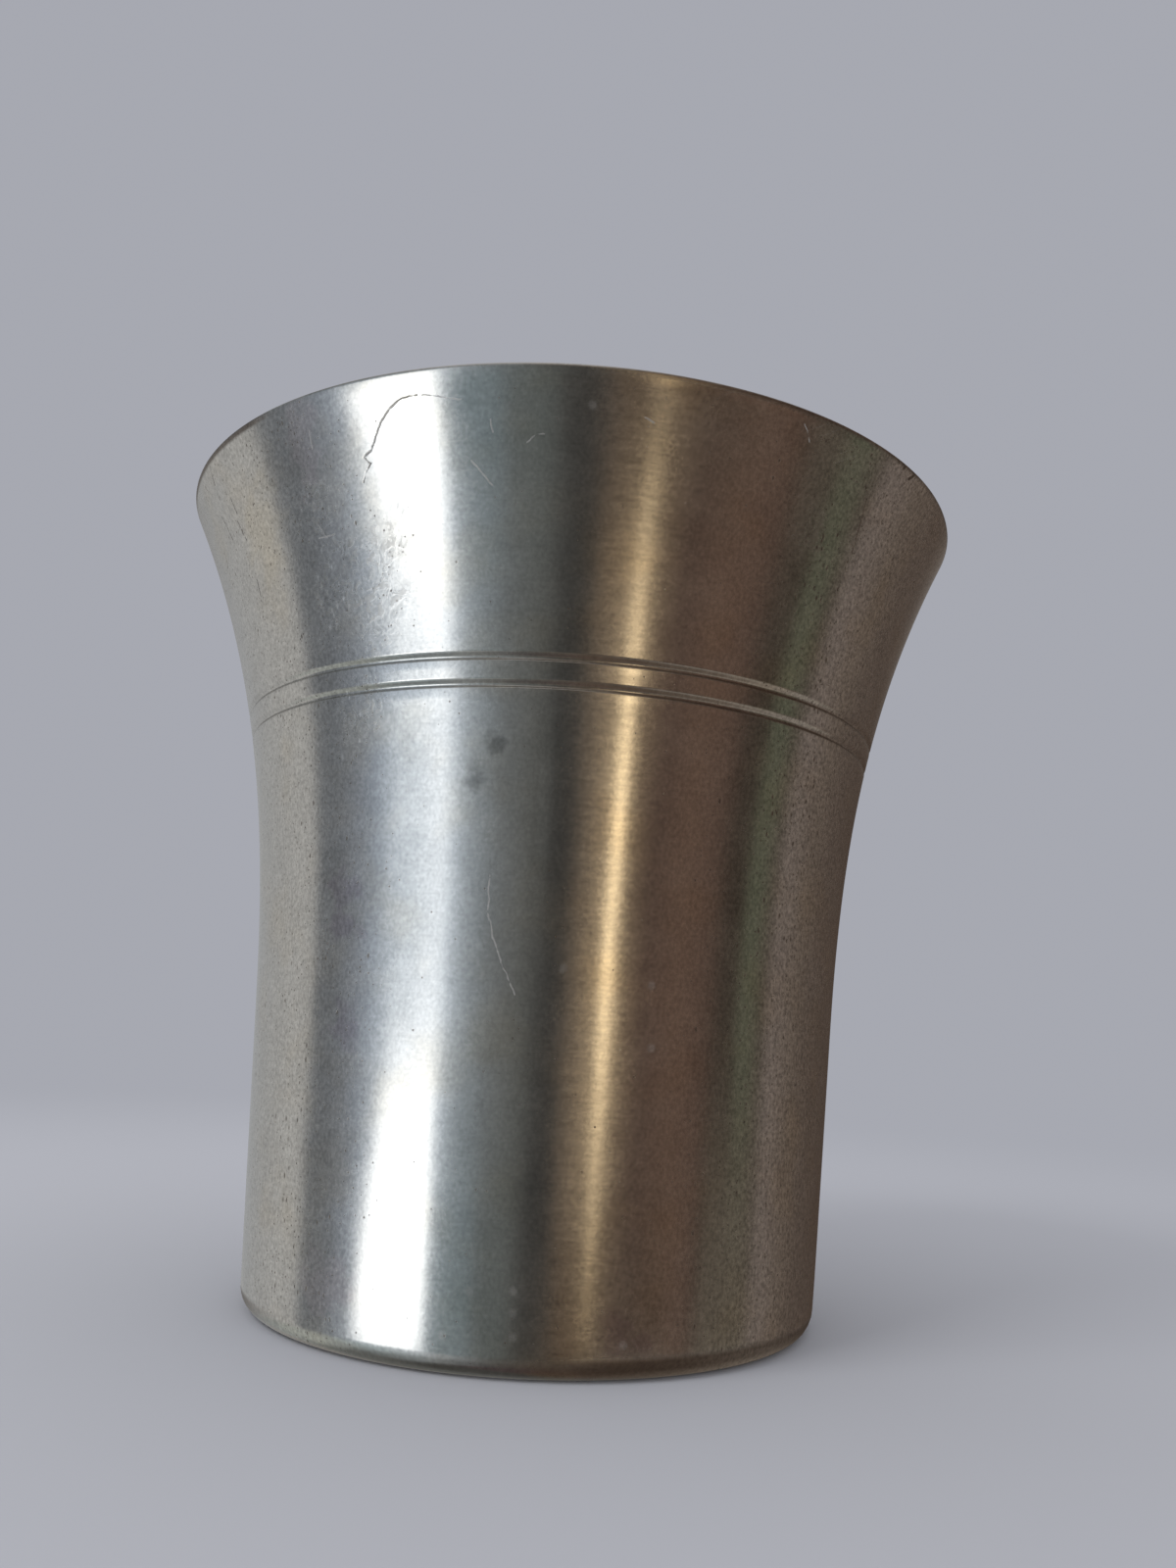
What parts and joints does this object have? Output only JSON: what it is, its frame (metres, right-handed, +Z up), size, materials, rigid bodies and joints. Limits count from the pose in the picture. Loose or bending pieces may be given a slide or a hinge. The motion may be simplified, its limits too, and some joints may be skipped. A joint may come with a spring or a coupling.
{
  "type": "beaker",
  "caption": "Turned pewter beaker with a flared mouth, fine grooves round the neck, a rolled-in foot and a soldered base; open on top for a drink or small things.",
  "frame": {"origin": "centre of the foot's flat underside, on the surface that the beaker stands on", "axes": "+Z up the turning axis to the open mouth; X and Y are any two directions square to it, because the form is turned"},
  "size_m": [0.0826, 0.0826, 0.08],
  "materials": {
    "wall_pewter": "satin pewter, finely turned round the axis, with small pits and scratches",
    "base_pewter": "plain turned pewter",
    "solder": "soft solder, wiped smooth"
  },
  "bodies": {
    "root": {"body_wall": "wall_pewter", "base_disc": "base_pewter", "solder_fillet": "solder"}
  },
  "joints": []
}
